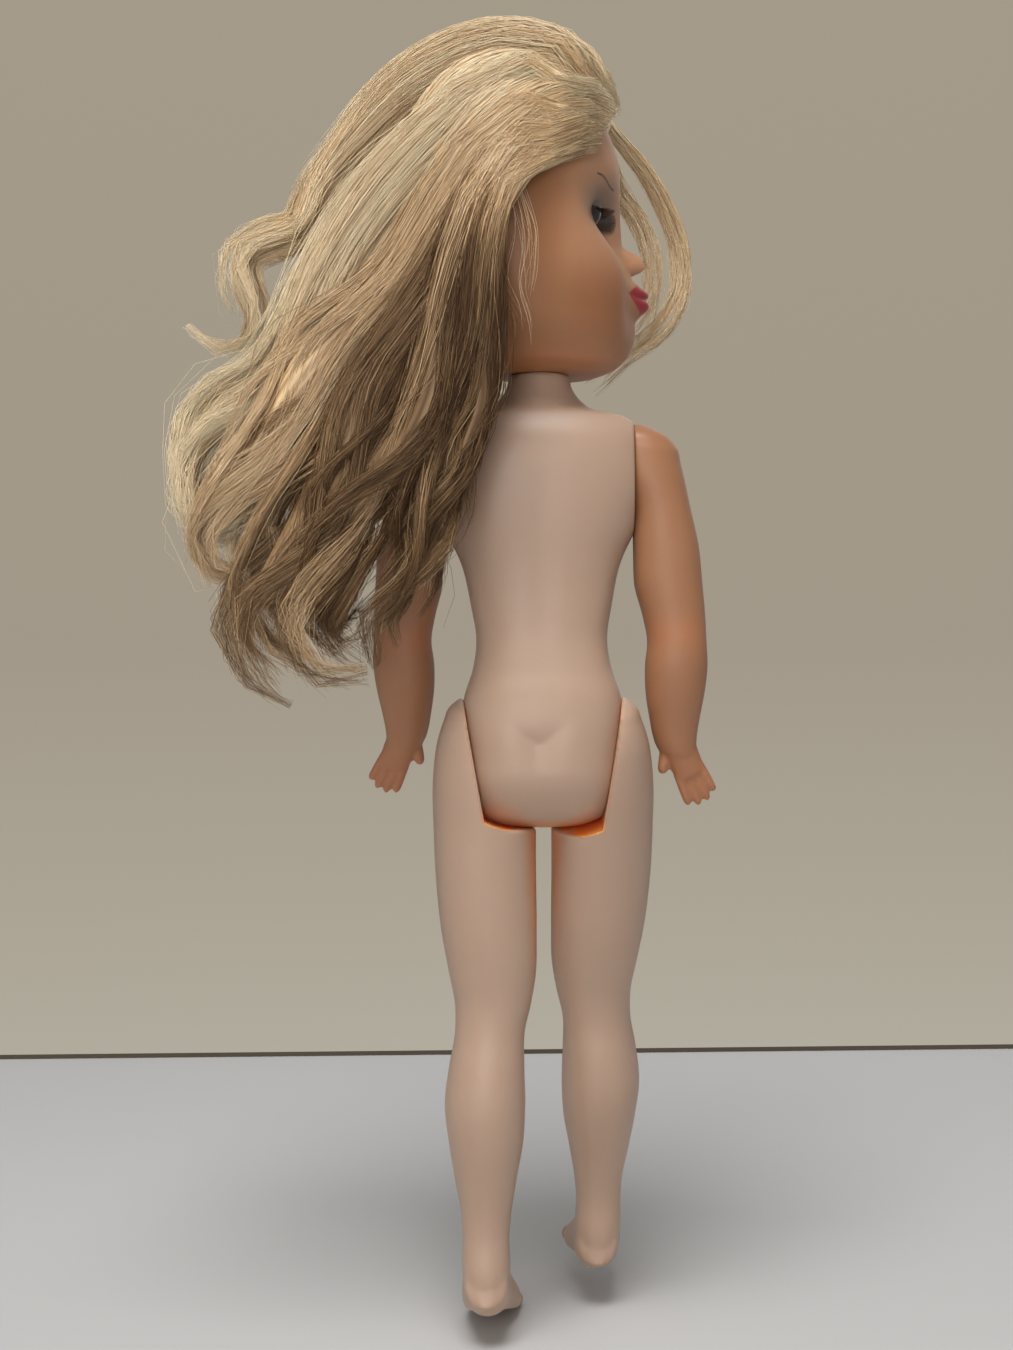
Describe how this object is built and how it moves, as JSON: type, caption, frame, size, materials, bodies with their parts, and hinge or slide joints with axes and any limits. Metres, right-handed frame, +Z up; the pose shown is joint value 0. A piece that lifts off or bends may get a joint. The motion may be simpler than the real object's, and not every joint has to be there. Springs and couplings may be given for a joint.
{
  "type": "fashion doll",
  "caption": "Jointed girl doll with a hollow plastic body, turning vinyl head, sleep eyes, swinging limbs and long rooted hair swept over one shoulder.",
  "frame": {"origin": "middle of the doll's box at the level of its lowest toes; the body's midline is to -X of it because the hair is swept to the doll's left", "axes": "+Z up, the body faces -Y, the doll's own left is +X"},
  "size_m": [0.1798, 0.1288, 0.456],
  "materials": {
    "pale_plastic": "blow-moulded pale pink plastic, satin",
    "vinyl": "soft peach vinyl, satin, with painted face",
    "hair": "ash-blond synthetic fibre, silky",
    "eye_white": "glossy white eyeball",
    "iris": "glossy dark iris",
    "lash": "dark bristle lashes",
    "inner_plastic": "plain moulded plastic",
    "steel": "plain steel"
  },
  "bodies": {
    "torso": {"torso": "pale_plastic"},
    "head": {"head": "vinyl", "left_eye_housing": "inner_plastic", "right_eye_housing": "inner_plastic", "left_eye_pin": "steel", "right_eye_pin": "steel", "hair_crown": "hair", "hair_back_fall": "hair", "hair_low_fall": "hair", "hair_side_fall": "hair", "hair_swept_curl": "hair", "hair_front_lock": "hair"},
    "left_eye": {"left_eyeball": "eye_white", "left_iris": "iris", "left_eye_weight": "steel", "left_eyelash": "lash"},
    "right_eye": {"right_eyeball": "eye_white", "right_iris": "iris", "right_eye_weight": "steel", "right_eyelash": "lash"},
    "left_arm": {"left_arm": "vinyl"},
    "right_arm": {"right_arm": "vinyl"},
    "left_leg": {"left_leg": "pale_plastic", "left_hip_plug": "inner_plastic"},
    "right_leg": {"right_leg": "pale_plastic", "right_hip_plug": "inner_plastic"}
  },
  "joints": [
    {"name": "neck_turn", "type": "hinge", "parent": "torso", "child": "head", "pos_m": [-0.02628, 0.0124, 0.34], "axis": [0, 0, 1], "range_deg": [-15, 105], "deforming": ["hair_back_fall", "hair_low_fall", "hair_side_fall", "hair_swept_curl"]},
    {"name": "left_eye_sleep", "type": "hinge", "parent": "head", "child": "left_eye", "pos_m": [-0.03351, -0.00478, 0.395], "axis": [0.2079, -0.9781, 0], "range_deg": [0, 45]},
    {"name": "right_eye_sleep", "type": "hinge", "parent": "head", "child": "right_eye", "pos_m": [-0.03987, 0.02515, 0.395], "axis": [0.2079, -0.9781, 0], "range_deg": [0, 45]},
    {"name": "left_shoulder", "type": "hinge", "parent": "torso", "child": "left_arm", "pos_m": [0.00842, 0.0124, 0.308], "axis": [-1, 0, 0], "range_deg": [-72, 108]},
    {"name": "right_shoulder", "type": "hinge", "parent": "torso", "child": "right_arm", "pos_m": [-0.06098, 0.0124, 0.308], "axis": [-1, 0, 0], "range_deg": [-60, 120]},
    {"name": "left_hip", "type": "hinge", "parent": "torso", "child": "left_leg", "pos_m": [-0.00228, 0.0124, 0.205], "axis": [-0.9863, 0, 0.165], "range_deg": [-30, 84]},
    {"name": "right_hip", "type": "hinge", "parent": "torso", "child": "right_leg", "pos_m": [-0.05028, 0.0124, 0.205], "axis": [-0.9863, 0, -0.165], "range_deg": [-42, 78]}
  ]
}
